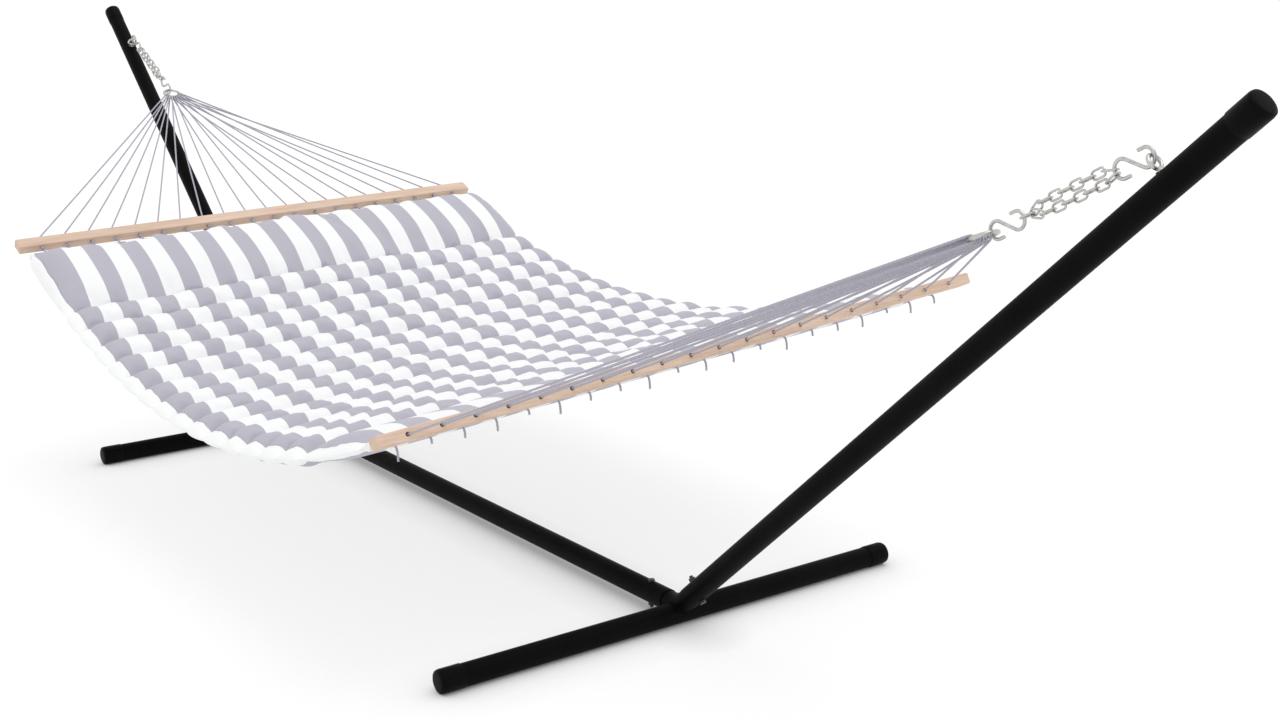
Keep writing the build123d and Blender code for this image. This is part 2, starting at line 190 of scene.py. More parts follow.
def capPlastic():
    material, tree, shader = newMaterial("capPlastic")
    tone = (0.0022, 0.0022, 0.0023, 1)
    setInputs(tree, shader, {"Base Color": tone, "Roughness": 0.45, "Specular IOR Level": 0.05})
    bump(tree, shader, grain(tree, coordinates(tree, "Object"), 500, 2), 0.12, 0.0003)
    return material


def darkBolt():
    material, tree, shader = newMaterial("darkBolt")
    setInputs(tree, shader, {"Base Color": (0.06, 0.06, 0.065, 1), "Metallic": 0.9, "Roughness": 0.38})
    return material


def zinc():
    material, tree, shader = newMaterial("zinc")
    dull, bright = (0.46, 0.455, 0.44), (0.64, 0.63, 0.605)
    tone = ramp(tree, grain(tree, coordinates(tree, "Object"), 160), [(0.3, dull), (0.7, bright)])
    setInputs(tree, shader, {"Base Color": tone, "Metallic": 1.0, "Roughness": 0.34})
    return material


def oak():
    material, tree, shader = newMaterial("oak")
    fibres = grain(tree, coordinates(tree, "Object", (1, 0.035, 1)), 260, 4)
    figure = grain(tree, coordinates(tree, "Object", (1, 0.10, 1)), 38, 3)
    both = maths(tree, "MULTIPLY", maths(tree, "ADD", fibres, figure), 0.5)
    pale, mid, deep = (0.70, 0.53, 0.41), (0.62, 0.45, 0.34), (0.48, 0.33, 0.24)
    tone = ramp(tree, both, [(0.30, deep), (0.47, mid), (0.62, pale)])
    setInputs(tree, shader, {"Base Color": tone, "Roughness": 0.5})
    bump(tree, shader, fibres, 0.15, 0.0004)
    return material


fabric = {"dark": (0.470, 0.457, 0.523), "white": (0.90, 0.905, 0.91), "threads": 260.0}


def weave(tree, where):
    sockets = {"Vector": where, "Scale": fabric["threads"]}
    warp, weft = (addNode(tree, "ShaderNodeTexWave", sockets, bands_direction=way) for way in "XY")
    return maths(tree, "MAXIMUM", warp.outputs["Fac"], weft.outputs["Fac"])


def stripeFabric():
    material, tree, shader = newMaterial("stripeFabric")
    where = coordinates(tree, "UV")
    across = addNode(tree, "ShaderNodeSeparateXYZ", {0: where}).outputs["X"]
    width = (bed["width"] - 2 * bed["binding"]) / bed["stripes"]
    stripe = maths(tree, "FLOOR", maths(tree, "MULTIPLY", across, 1 / width))
    odd = maths(tree, "FLOORED_MODULO", stripe, 2.0)
    striped = mixColours(tree, odd, (*fabric["dark"], 1), (*fabric["white"], 1))
    fleck = ramp(tree, grain(tree, where, 700, 2), [(0.3, (0.93, 0.93, 0.93)), (0.7, (1, 1, 1))])
    tone = mixColours(tree, 1.0, striped, fleck, "MULTIPLY")
    setInputs(tree, shader, {"Base Color": tone, "Roughness": 0.92, "Specular IOR Level": 0.2, "Sheen Weight": 0.15})
    bump(tree, shader, weave(tree, where), 0.25, 0.0004)
    return material


def whiteBinding():
    material, tree, shader = newMaterial("whiteBinding")
    setInputs(tree, shader, {"Base Color": (*fabric["white"], 1), "Roughness": 0.9, "Specular IOR Level": 0.2})
    bump(tree, shader, weave(tree, coordinates(tree, "UV")), 0.3, 0.0004)
    return material


def cordFibre():
    material, tree, shader = newMaterial("cordFibre")
    dark, pale = (0.34, 0.33, 0.385), (0.46, 0.445, 0.51)
    tone = ramp(tree, grain(tree, coordinates(tree, "Object"), 420), [(0.3, dark), (0.7, pale)])
    setInputs(tree, shader, {"Base Color": tone, "Roughness": 0.75})
    return material


materials = {
    "powder_coat": powderCoat(), "cap_plastic": capPlastic(), "dark_bolt": darkBolt(), "zinc": zinc(),
    "oak": oak(), "cord": cordFibre(), "stripe_fabric": stripeFabric(), "white_binding": whiteBinding(),
}
finishes = {
    "powder_coat": ("foot_near", "foot_far", "beam", "upright_near", "upright_far", "elbow_near", "elbow_far"),
    "cap_plastic": ("foot_caps_near", "foot_caps_far", "top_cap_near", "top_cap_far"),
    "dark_bolt": ("beam_bolts", "beam_nuts", "upright_bolts", "upright_nuts"),
    "oak": ("spreader_bar_near", "spreader_bar_far", "hem_dowel_near", "hem_dowel_far"),
    "cord": ("cords_near", "cords_far", "knots_near", "knots_far"),
    "stripe_fabric": ("quilted_pad", "hem_near", "hem_far"),
    "white_binding": ("side_binding_left", "side_binding_right"),
}
finishOf = {node: slot for slot, names in finishes.items() for node in names}
for name, node in nodes.items():
    finish = materials[finishOf.get(name, "zinc")]
    if not node.material_slots:
        node.data.materials.append(finish)
    for holder in node.material_slots:
        holder.material = finish
print("materials on", len(nodes), "nodes")


# Mesh helpers

def addObject(name, data):
    added = bpy.data.objects.new(name, data)
    bpy.context.scene.collection.objects.link(added)
    return added


def addPiece(name, mesh, slot, body, replaced):
    piece = addObject(name, mesh)
    mesh.materials.append(materials[slot])
    mesh.shade_smooth()
    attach(piece, body)
    if replaced:
        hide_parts(*replaced)
    return piece


def bakedMesh(holder):
    return bpy.data.meshes.new_from_object(holder.evaluated_get(bpy.context.evaluated_depsgraph_get()))


def meshPoints(mesh):
    return np.array([vertex.co for vertex in mesh.vertices])


def meshFrom(name, points, faces, flat=None):  # flat is one UV pair for each point
    mesh = bpy.data.meshes.new(name)
    mesh.from_pydata(np.asarray(points).tolist(), [], [list(face) for face in faces])
    if flat is not None:
        corners = flat[np.concatenate([np.ravel(face) for face in faces])]
        layer = mesh.uv_layers.new(name="UVMap")
        layer.data.foreach_set("uv", np.asarray(corners, dtype=np.float32).ravel())
    return mesh


def flatGrid(first, second):
    return np.stack(np.broadcast_arrays(first, second), axis=-1).reshape(-1, 2)


def gridFaces(rows, columns, start=0, flip=False):
    index = start + np.arange(rows * columns).reshape(rows, columns)
    quads = np.stack([index[:-1, :-1], index[1:, :-1], index[1:, 1:], index[:-1, 1:]], axis=-1).reshape(-1, 4)
    return quads[:, ::-1] if flip else quads


def tubeFaces(rings, sides, start=0, flip=False):  # rings of points, with a face over each end
    index = start + np.arange(rings * sides).reshape(rings, sides)
    after = np.roll(index, -1, axis=1)
    quads = np.stack([index[:-1], after[:-1], after[1:], index[1:]], axis=-1).reshape(-1, 4).tolist()
    faces = quads + [index[0][::-1].tolist(), index[-1].tolist()]
    return [face[::-1] for face in faces] if flip else faces


def joined(parts):
    points, faces, count = [], [], 0
    for partPoints, partFaces in parts:
        faces += [[corner + count for corner in face] for face in partFaces]
        points.append(partPoints)
        count += len(partPoints)
    return np.concatenate(points), faces


def resample(line, step):
    line = np.asarray(line)
    along = np.concatenate([[0], np.cumsum(np.linalg.norm(np.diff(line, axis=0), axis=1))])
    marks = np.linspace(0, along[-1], max(2, int(round(along[-1] / step)) + 1))
    return np.stack([np.interp(marks, along, line[:, axis]) for axis in range(3)], axis=1), marks


def tubeParts(line, radius, sides, lobes=0, lobeDepth=0.0, lay=0.02, step=0.0, ripple=0.0):
    line, marks = resample(line, step or radius * 1.6)
    tangents = np.gradient(line, axis=0)
    tangents /= np.linalg.norm(tangents, axis=1)[:, None]
    slant = (0.31, 0.87, 0.38)  # along none of the lines drawn here
    normal = unit(np.cross(tangents[0], slant))
    angles = np.arange(sides) / sides * 2 * math.pi
    rings = []
    for point, tangent, mark in zip(line, tangents, marks):
        normal = unit(normal - tangent * normal.dot(tangent))
        binormal = np.cross(tangent, normal)
        twist = mark / lay * 2 * math.pi
        reach = radius - lobeDepth * (1 - np.cos(lobes * (angles - twist))) / 2 + ripple * math.cos(twist)
        rings.append(point + np.outer(np.cos(angles) * reach, normal) + np.outer(np.sin(angles) * reach, binormal))
    return np.concatenate(rings), tubeFaces(len(rings), sides)


def smoothStep(share):
    return share * share * (3 - 2 * share)


def softNoise(values, wave, seed):  # smooth, about -1 to 1
    count, offset = 4096, 1000  # the offset keeps the steps above 0
    picks = np.random.default_rng(seed).uniform(-1, 1, count)
    steps = np.asarray(values) / wave + offset
    whole = np.floor(steps).astype(int)
    ease = smoothStep(steps - whole)
    return picks[whole % count] * (1 - ease) + picks[(whole + 1) % count] * ease


# Clew cords

cords = {
    "count": 10, "diameter": 0.0044, "gap": 0.0003, "ringStep": 15.0, "ringSlack": 0.0014,
    "ringRadius": 0.025, "ringWire": 0.008, "dowel": 0.012, "barDepth": 0.038, "knot": 0.012,
    "loopSetback": 0.0033, "tailDrop": 0.022, "tailVary": 0.009, "tailPhase": 2.4, "tailBack": 0.025,
    "tailUnder": 0.013, "easing": 6.0, "strands": 3, "lay": 0.024, "groove": 0.0004, "sides": 12, "step": 0.002,
}


def strandPoints(end, index):
    wrap = cords["dowel"] / 2 + cords["diameter"] / 2 + cords["gap"]
    hole = end.bar + end.station(index)
    peg = end.dowel + end.station(index)
    mouth = hole - end.bedward * (cords["barDepth"] / 2)
    behindKnot = hole + end.bedward * (cords["barDepth"] / 2 + cords["knot"] + 2 * cords["loopSetback"])
    over = peg + end.upward * wrap - end.bedward * (wrap / 2)
    pastTop = peg + (end.bedward + end.upward) * wrap
    pastBottom = peg + (end.bedward - end.upward) * wrap
    tailTop = peg - end.bedward * cords["tailBack"] - end.upward * cords["tailUnder"]
    drop = cords["tailDrop"] + cords["tailVary"] * math.cos(cords["tailPhase"] * index)
    tailEnd = tailTop - np.array((0, 0, drop))
    return [tailEnd, tailTop, pastBottom, pastTop, over, behindKnot, mouth]


def cordRoute(end, index):
    swing = math.radians((index - (cords["count"] - 1) / 2) * cords["ringStep"])
    outward = end.clew * math.cos(swing) + np.array((0, math.sin(swing), 0))
    onRing = end.ring + outward * cords["ringRadius"]
    away = unit(end.bar + (end.station(2 * index) + end.station(2 * index + 1)) / 2 - onRing)
    over = cords["ringWire"] / 2 + cords["diameter"] / 2 + cords["gap"]
    back = cords["ringWire"] / 2 / abs(outward.dot(away)) + cords["diameter"] / 2 + cords["ringSlack"]
    upperTurn = onRing + end.lift * over - away * back
    lowerTurn = onRing - end.lift * over - away * back
    first, second = strandPoints(end, 2 * index), strandPoints(end, 2 * index + 1)
    ease = cords["easing"] * cords["diameter"]
    taut = []
    for mouth, turn in ((first[-1], upperTurn), (second[-1], lowerTurn)):
        run = unit(turn - mouth)
        taut.append([mouth + run * ease, turn - run * ease])
    return first + taut[0] + [upperTurn, lowerTurn] + taut[1][::-1] + second[::-1]


def nurbsLine(points):
    curve = bpy.data.curves.new("route", "CURVE")
    curve.dimensions = "3D"
    spline = curve.splines.new("NURBS")
    spline.points.add(len(points) - 1)
    for control, point in zip(spline.points, points):
        control.co = (*point, 1)
    spline.order_u = 3
    spline.use_endpoint_u = True
    spline.resolution_u = 12
    holder = addObject("route", curve)
    mesh = bakedMesh(holder)
    line = meshPoints(mesh)
    bpy.data.objects.remove(holder)
    bpy.data.curves.remove(curve)
    bpy.data.meshes.remove(mesh)
    apart = np.linalg.norm(np.diff(line, axis=0), axis=1) > 1e-5
    return line[np.concatenate([[True], apart])]


for end in (near, far):
    for index in range(cords["count"]):
        line = resample(nurbsLine(cordRoute(end, index)), cords["step"])[0]
        reach = cords["diameter"] / 2 + cords["groove"] / 2
        rope = tubeParts(line, reach, cords["sides"], cords["strands"], cords["groove"], cords["lay"])
        mesh = meshFrom(f"cord_{end.name}_{index}", *rope)
        piece = addPiece(mesh.name, mesh, "cord", "hammock", ["cords_" + end.name])
print("cords made")


# Quilted pad

pad = {
    "rowSteps": 10, "panelSteps": 28, "stripeSteps": 5, "seam": 0.003, "crown": 0.034, "under": 0.020,
    "farPanel": 0.055, "farLean": 0.70, "farSpread": 0.010, "spreadRun": 0.05, "nearPanel": 0.026,
    "nearUnder": 0.007, "edgeShare": 0.54, "edgeRun": 0.030, "gap": 0.0003, "roundness": 2.2,
    "fullness": 0.62, "leastFullness": 0.25, "pucker": 0.30, "puckerWave": 0.034, "puckerSeeds": 7,
    "unevenness": 0.12, "fillWave": 0.16, "fillSeeds": (91, 5), "topSeed": 11, "underSeed": 53,
    "scallop": 0.004, "pull": 0.002,
}
rimAt = bed["width"] / 2 - bed["binding"] - pad["gap"]
stripesHalf = bed["width"] / 2 - bed["binding"]


def padRuns():
    seams = padSeams()
    runs, rows, seamRows = [], [], []
    for row, (left, right) in enumerate(zip(seams, seams[1:])):
        steps = pad["panelSteps"] if row in (0, len(seams) - 2) else pad["rowSteps"]
        seamRows.append(len(runs))
        for step in range(steps):
            share = (1 - math.cos(math.pi * step / steps)) / 2 * 0.5 + step / steps * 0.5  # finer at the seams
            runs.append(left + (right - left) * share)
            rows.append(row)
    seamRows.append(len(runs))
    return np.array(runs + [seams[-1]]), np.array(rows + [rows[-1]]), seamRows


def rowPlace(run):  # -1 to 1 from seam to seam; the far panel is fullest toward its bar
    seams = np.array(padSeams())
    row = np.clip(np.searchsorted(seams, run, side="right") - 1, 0, len(seams) - 2)
    share = np.clip((run - seams[row]) / (seams[row + 1] - seams[row]), 0, 1)
    return 2 * np.where(row == 0, share ** pad["farLean"], share) - 1


def rowPuff(run):  # 0 on a seam, 1 at the crest of a row
    return (1 - np.abs(rowPlace(run)) ** pad["roundness"]) ** pad["fullness"]


def rowCrown(run, hand):  # the end panels are filled differently from the rows
    top, under = ("crown", "farPanel", "nearPanel"), ("under", "under", "nearUnder")
    rows, farPanel, nearPanel = top if hand > 0 else under
    panels = np.where(run < bedLength / 2, pad[farPanel], pad[nearPanel])
    inRows = np.abs(run - bedLength / 2) < padRun / 2 - bed["endPanel"]
    return np.where(inRows, pad[rows], panels)


def panelSpread(run):  # the far panel covers more of its binding
    share = np.clip((bed["padStart"] + bed["endPanel"] - run) / pad["spreadRun"], 0, 1)
    return pad["farSpread"] * smoothStep(share)


def rimOut(run):  # how far the side swells past its straight line
    return pad["scallop"] * rowPuff(run) - pad["pull"] + panelSpread(run)


def creases(ys, rows, seed):
    return np.array([softNoise(ys, pad["puckerWave"], seed + pad["puckerSeeds"] * int(row)) for row in rows])


def padShape():
    runs, rows, seamRows = padRuns()
    places = rowPlace(runs)[:, None]
    side = (places + 1) / 2
    ys = np.linspace(-rimAt, rimAt, bed["stripes"] * pad["stripeSteps"] + 1)
    inset = np.clip((rimAt - np.abs(ys)) / pad["edgeRun"], 0, 1)
    share = np.sin(inset * math.pi / 2)
    wide = ys[None, :] + np.sign(ys)[None, :] * rimOut(runs)[:, None] * (1 - inset)[None, :] ** 2
    firstFill, nextFill = pad["fillSeeds"]
    grids = []
    for hand, seed in ((1, pad["topSeed"]), (-1, pad["underSeed"])):
        pucker = creases(ys, rows, seed) * (1 - side) + creases(ys, rows + 1, seed) * side
        fullness = pad["fullness"] + pad["pucker"] * pucker
        puff = (1 - np.abs(places) ** pad["roundness"]) ** np.maximum(fullness, pad["leastFullness"])
        fills = [softNoise(ys, pad["fillWave"], seed + firstFill + nextFill * int(row)) for row in rows]
        fill = 1 + pad["unevenness"] * np.array(fills)
        crown = rowCrown(runs, hand)[:, None] * (pad["edgeShare"] + (fill - pad["edgeShare"]) * share[None, :])
        grids.append(bedPoint(runs[:, None], wide, hand * (pad["seam"] + puff * crown)))
    return runs, ys, seamRows, grids


def padMesh():
    runs, ys, seamRows, (top, under) = padShape()
    rows, columns = len(runs), len(ys)
    count = rows * columns
    index = np.arange(count).reshape(rows, columns)
    rim = np.concatenate([index[0, :-1], index[:-1, -1], index[-1, :0:-1], index[:0:-1, 0]])
    following = np.roll(rim, -1)
    sides = np.stack([rim, following, following + count, rim + count], axis=-1)
    faces = np.concatenate([gridFaces(rows, columns), gridFaces(rows, columns, count, True), sides])
    flat = flatGrid((ys + stripesHalf)[None, :], runs[:, None])
    points = np.concatenate([top.reshape(-1, 3), under.reshape(-1, 3)])
    mesh = meshFrom("quiltedPad", points, faces, np.concatenate([flat, flat]))
    held = np.zeros((rows, columns), bool)
    held[seamRows, :] = True
    held[:, [0, -1]] = True
    return mesh, np.concatenate([held.ravel(), held.ravel()])


cloth = {
    "quality": 2, "mass": 0.3, "stretch": 20, "shear": 5, "bend": 0.15, "pressure": 1.2, "ease": -0.02,
    "frames": 12, "cap": 0.005,
}


def puffUp(piece, held):  # cloth held on the seams, blown up from inside
    start = meshPoints(piece.data)
    pins = piece.vertex_groups.new(name="seams")
    pins.add(np.flatnonzero(held).tolist(), 1.0, "REPLACE")
    modifier = piece.modifiers.new("cloth", "CLOTH")
    settings = modifier.settings
    settings.quality = cloth["quality"]
    settings.mass = cloth["mass"]
    settings.tension_stiffness = settings.compression_stiffness = cloth["stretch"]
    settings.shear_stiffness = cloth["shear"]
    settings.bending_stiffness = cloth["bend"]
    settings.vertex_group_mass = "seams"
    settings.use_pressure = True
    settings.uniform_pressure_force = cloth["pressure"]
    settings.shrink_min = settings.shrink_max = cloth["ease"]
    settings.effector_weights.gravity = 0
    modifier.collision_settings.use_collision = False
    modifier.point_cache.frame_start = 1
    modifier.point_cache.frame_end = cloth["frames"]
    scene = bpy.context.scene
    for number in range(1, cloth["frames"] + 1):
        scene.frame_set(number)
    shape = piece.evaluated_get(bpy.context.evaluated_depsgraph_get())
    step = meshPoints(shape.data) - start
    piece.modifiers.remove(modifier)
    piece.vertex_groups.remove(pins)
    scene.frame_set(1)
    size = np.linalg.norm(step, axis=1)[:, None]
    step *= np.minimum(1, cloth["cap"] / np.maximum(size, 1e-9))
    piece.data.vertices.foreach_set("co", (start + step).astype(np.float32).ravel())
    piece.data.update()
    mean, most = (round(float(value) * 1000, 1) for value in (size.mean(), size.max()))
    print("pad moved by cloth: mean", mean, "most", most, "mm")


def roundOff(piece):
    rounder = piece.modifiers.new("rounder", "SUBSURF")
    rounder.levels = rounder.render_levels = 1
    rounder.uv_smooth = "NONE"
    mesh = bakedMesh(piece)
    piece.modifiers.remove(rounder)
    piece.data = mesh


padMeshData, padHeld = padMesh()
padPiece = addPiece("quiltedPad", padMeshData, "stripe_fabric", "hammock", ["quilted_pad"])
puffUp(padPiece, padHeld)
roundOff(padPiece)
print("pad made")


# Side bindings

binding = {
    "lap": 0.004, "width": 0.019, "flare": 0.005, "skin": 0.0012, "across": 12, "step": 0.006,
    "ripple": 0.14, "rippleWave": 0.022, "rippleSeed": 31, "edge": 0.001, "edgeWave": 0.03, "edgeSeed": 77,
    "fall": 1.8, "fallRound": 0.75, "girth": 0.024,
}


def bindingPoint(run, across, hand, face):  # across runs from the pad's side, 0, to the outer edge, 1
    puff = rowPuff(run)
    ripple = 1 + binding["ripple"] * softNoise(run, binding["rippleWave"], binding["rippleSeed"] + hand + face)
    inner = (pad["seam"] + puff * rowCrown(run, face) * pad["edgeShare"]) * ripple + binding["skin"]
    width = binding["lap"] + binding["width"] - panelSpread(run) + binding["flare"] * puff
    width = width + binding["edge"] * softNoise(run, binding["edgeWave"], binding["edgeSeed"] + hand)
    y = hand * (rimAt + rimOut(run) - binding["lap"] + width * across)
    return bedPoint(run, y, face * inner * (1 - across ** binding["fall"]) ** binding["fallRound"])


def bindingMesh(name, hand):
    runs = np.linspace(bed["padStart"], padEnd, int(padRun / binding["step"]))[:, None]
    across = np.sin(np.linspace(0, math.pi / 2, binding["across"]))[None, :]
    upper, lower = bindingPoint(runs, across, hand, 1), bindingPoint(runs, across[:, -2::-1], hand, -1)
    points = np.concatenate([upper, lower], axis=1)
    rows, columns = points.shape[:2]
    flat = flatGrid(np.linspace(0, binding["girth"], columns)[None, :], runs)
    return meshFrom(name, points.reshape(-1, 3), tubeFaces(rows, columns, 0, hand > 0), flat)


for side, hand in (("left", -1), ("right", 1)):
    edging = bindingMesh("binding_" + side, hand)
    piece = addPiece("binding_" + side, edging, "white_binding", "hammock", ["side_binding_" + side])
print("bindings made")


# End hems, cut into tabs between the cords

hem = {
    "reach": 0.0085, "notch": 0.009, "lap": 0.006, "edge": 0.0037, "steps": 9, "arc": 14, "arcFrom": 70,
    "arcTo": 290, "dip": 0.0008, "swell": 0.0007, "pinch": 0.0006, "pinchWave": 0.011, "pinchSeeds": (400, 40),
    "side": 0.002, "tuck": 0.0007, "tuckSize": 0.90, "girth": 0.06,
}


def tabLoop(end, y, swell):  # one section of a tab, from the pad's top round the dowel to its underside
    run = bed["padStart"] if end is far else padEnd
    inset = run - end.side * hem["lap"]
    heart = end.dowel + end.lengthAxis * (y / end.lengthAxis[1])
    turn = np.linspace(math.radians(hem["arcFrom"]), math.radians(hem["arcTo"]), hem["arc"])
    spokes = np.cos(turn)[:, None] * end.bedward + np.sin(turn)[:, None] * end.upward
    arc = heart + (hem["reach"] + swell) * spokes
    lip = hem["edge"] + swell
    rims = ((inset, lip), (run, lip), (run, -lip), (inset, -lip))
    topInset, top, under, underInset = (bedPoint(np.array(place), y, height) for place, height in rims)
    topDip = (top + arc[0]) / 2 - end.upward * hem["dip"]
    underDip = (under + arc[-1]) / 2 + end.upward * hem["dip"]
    return np.vstack([topInset, top, topDip, arc, underDip, under, underInset])


def tucked(loop, shift):
    return loop.mean(0) + (loop - loop.mean(0)) * hem["tuckSize"] + shift


def hemMesh(end):
    cuts = [end.station(index)[1] for index in range(bed["holes"])]
    outer = bed["width"] / 2 - hem["side"]
    lefts = [-outer] + [cut + hem["notch"] / 2 for cut in cuts]
    rights = [cut - hem["notch"] / 2 for cut in cuts] + [outer]
    tuck = hem["tuck"] * end.lengthAxis
    firstPinch, endPinch = hem["pinchSeeds"]
    points, faces, flat, count = [], [], [], 0
    for tab, (left, right) in enumerate(zip(lefts, rights)):
        marks = np.linspace(0, 1, hem["steps"])
        ys = left + (right - left) * marks
        pinch = softNoise(ys, hem["pinchWave"], firstPinch + tab + endPinch * end.side)
        swells = hem["swell"] * np.sin(math.pi * marks) + hem["pinch"] * pinch
        loops = [tabLoop(end, y, swell) for y, swell in zip(ys, swells)]
        loops = [tucked(loops[0], -tuck)] + loops + [tucked(loops[-1], tuck)]
        columns = len(loops[0])
        faces += tubeFaces(len(loops), columns, count, end.side > 0)
        around = np.linspace(0, hem["girth"], columns)
        flat.append(flatGrid((np.concatenate([[left], ys, [right]]) + stripesHalf)[:, None], around[None, :]))
        points += loops
        count += len(loops) * columns
    return meshFrom("hem_tabs_" + end.name, np.concatenate(points), faces, np.concatenate(flat))


for end in (near, far):
    piece = addPiece("hem_tabs_" + end.name, hemMesh(end), "stripe_fabric", "hammock", ["hem_" + end.name])
print("hems made")


# Repeated pieces, set out with Geometry Nodes

def nodeTree(name, inputs):
    tree = bpy.data.node_groups.new(name, "GeometryNodeTree")
    tree.interface.new_socket("Geometry", in_out="INPUT", socket_type="NodeSocketGeometry")
    for label, kind in inputs.items():
        tree.interface.new_socket(label, in_out="INPUT", socket_type="NodeSocket" + kind)
    tree.interface.new_socket("Geometry", in_out="OUTPUT", socket_type="NodeSocketGeometry")
    return tree, tree.nodes.new("NodeGroupInput").outputs, tree.nodes.new("NodeGroupOutput").inputs


def finishTree(tree, given, instances, result):
    whole = addNode(tree, "GeometryNodeRealizeInstances", {"Geometry": instances})
    coated = addNode(tree, "GeometryNodeSetMaterial", {"Geometry": whole.outputs[0], "Material": given["Material"]})
    tree.links.new(coated.outputs[0], result[0])
    return tree


def bakeNodes(name, source, tree, values):
    holder = addObject(name, source)
    modifier = holder.modifiers.new("nodes", "NODES")
    modifier.node_group = tree
    for item in tree.interface.items_tree:
        if item.in_out == "INPUT" and item.name in values:
            modifier[item.identifier] = values[item.name]
    holder.update_tag()
    mesh = bakedMesh(holder)
    mesh.name = name
    mesh.materials.clear()
    holder.modifiers.remove(modifier)
    bpy.data.objects.remove(holder)
    return mesh


knots = {
    "coil": 0.0041, "strand": 0.0020, "turns": 2.6, "length": 0.0112, "steps": 90, "taper": 9, "least": 0.25,
    "wave": 0.0006, "waves": 1.5, "bightFrom": (0.0047, -0.0012, 0.0016), "bightTo": (0.0044, 0.0022, 0.0100),
    "bightBow": 0.0011, "bightSteps": 24, "bightSize": 0.9, "sides": 9, "bightSides": 8, "off": 0.0004,
    "tilt": 0.12, "spin": 6.28, "seed": 5,
}


def knotTree():
    tree, given, result = nodeTree("knotRow", {"Knot": "Object", "Seed": "Int", "Material": "Material"})
    knot = addNode(tree, "GeometryNodeObjectInfo", {"Object": given["Knot"]}, transform_space="ORIGINAL")
    axis = addNode(tree, "GeometryNodeInputNamedAttribute", {"Name": "axis"}, data_type="FLOAT_VECTOR")
    facing = addNode(tree, "FunctionNodeAlignRotationToVector", {"Vector": axis.outputs["Attribute"]}, axis="Z")
    tilt = knots["tilt"]
    limits = {"Seed": given["Seed"], "Min": (-tilt, -tilt, 0), "Max": (tilt, tilt, knots["spin"])}
    spin = addNode(tree, "FunctionNodeRandomValue", limits, data_type="FLOAT_VECTOR")
    turn = addNode(tree, "FunctionNodeEulerToRotation", {"Euler": spin.outputs["Value"]})
    turns = {"Rotation": facing.outputs[0], "Rotate By": turn.outputs[0]}
    both = addNode(tree, "FunctionNodeRotateRotation", turns, rotation_space="LOCAL")
    placing = {"Points": given["Geometry"], "Instance": knot.outputs["Geometry"], "Rotation": both.outputs[0]}
    placed = addNode(tree, "GeometryNodeInstanceOnPoints", placing)
    return finishTree(tree, given, placed.outputs[0], result)


def knotMesh():
    share = np.linspace(0, 1, knots["steps"])
    angle = share * knots["turns"] * 2 * math.pi
    reach = knots["coil"] * np.clip(np.minimum(share, 1 - share) * knots["taper"], knots["least"], 1)
    rise = knots["strand"] + (knots["length"] - 2 * knots["strand"]) * share
    rise = rise + knots["wave"] * np.sin(angle * knots["waves"])
    line = np.stack([np.cos(angle) * reach, np.sin(angle) * reach, rise], axis=1)
    bight = np.linspace(0, 1, knots["bightSteps"])[:, None]
    across = np.array(knots["bightFrom"]) * (1 - bight) + np.array(knots["bightTo"]) * bight
    across[:, 0] += knots["bightBow"] * np.sin(math.pi * bight[:, 0])
    coil = tubeParts(line, knots["strand"], knots["sides"])
    loop = tubeParts(across, knots["strand"] * knots["bightSize"], knots["bightSides"])
    return meshFrom("knotForm", *joined([coil, loop]))


knotForm = bpy.data.objects.new("knotForm", knotMesh())
knotForm.data.shade_smooth()
places, axes = [], []
for end in (near, far):
    for index in range(bed["holes"]):
        places.append(end.bar + end.station(index) + end.bedward * (cords["barDepth"] / 2 + knots["off"]))
        axes.append(end.bedward)
knotPoints = meshFrom("knotPlaces", places, [])
axisValues = knotPoints.attributes.new("axis", "FLOAT_VECTOR", "POINT").data
axisValues.foreach_set("vector", np.array(axes, dtype=np.float32).ravel())
knotValues = {"Knot": knotForm, "Seed": knots["seed"], "Material": materials["cord"]}
knotBaked = bakeNodes("stopperKnots", knotPoints, knotTree(), knotValues)
addPiece("stopperKnots", knotBaked, "cord", "hammock", ["knots_near", "knots_far"])
bpy.data.objects.remove(knotForm)
print("knots made")

stitches = {
    "pitch": 0.0068, "length": 0.0023, "thread": 0.00055, "across": 0.30, "lift": 0.0003, "inset": 0.004,
    "points": 420,
}


def stitchTree():
    inputs = {"Pitch": "Float", "Length": "Float", "Thread": "Float", "Material": "Material"}
    tree, given, result = nodeTree("stitchRow", inputs)
    lines = addNode(tree, "GeometryNodeMeshToCurve", {"Mesh": given["Geometry"]})
    spacing = {"Curve": lines.outputs[0], "Length": given["Pitch"]}
    spaced = addNode(tree, "GeometryNodeResampleCurve", spacing, mode="LENGTH")
    stitch = addNode(tree, "GeometryNodeMeshUVSphere", {"Segments": 5, "Rings": 3, "Radius": 1.0})
    size = addNode(tree, "ShaderNodeCombineXYZ", {"X": given["Length"], "Y": given["Thread"], "Z": given["Thread"]})
    along = addNode(tree, "GeometryNodeInputTangent")
    turn = addNode(tree, "FunctionNodeAlignRotationToVector", {"Vector": along.outputs[0]}, axis="X")
    placing = {"Points": spaced.outputs[0], "Instance": stitch.outputs["Mesh"],
               "Rotation": turn.outputs[0], "Scale": size.outputs[0]}
    placed = addNode(tree, "GeometryNodeInstanceOnPoints", placing)
    return finishTree(tree, given, placed.outputs[0], result)


def stitchLines():
    seamRows, (top, under) = padShape()[2:]
    lines = []
    for row in seamRows[1:-1]:
        lines += [top[row], under[row]]
    way = np.linspace(bed["padStart"] + stitches["inset"], padEnd - stitches["inset"], stitches["points"])
    for hand in (1, -1):
        for face in (1, -1):
            line = bindingPoint(way, np.full(way.shape, stitches["across"]), hand, face)
            line[:, 2] += face * stitches["lift"]
            lines.append(line)
    return lines


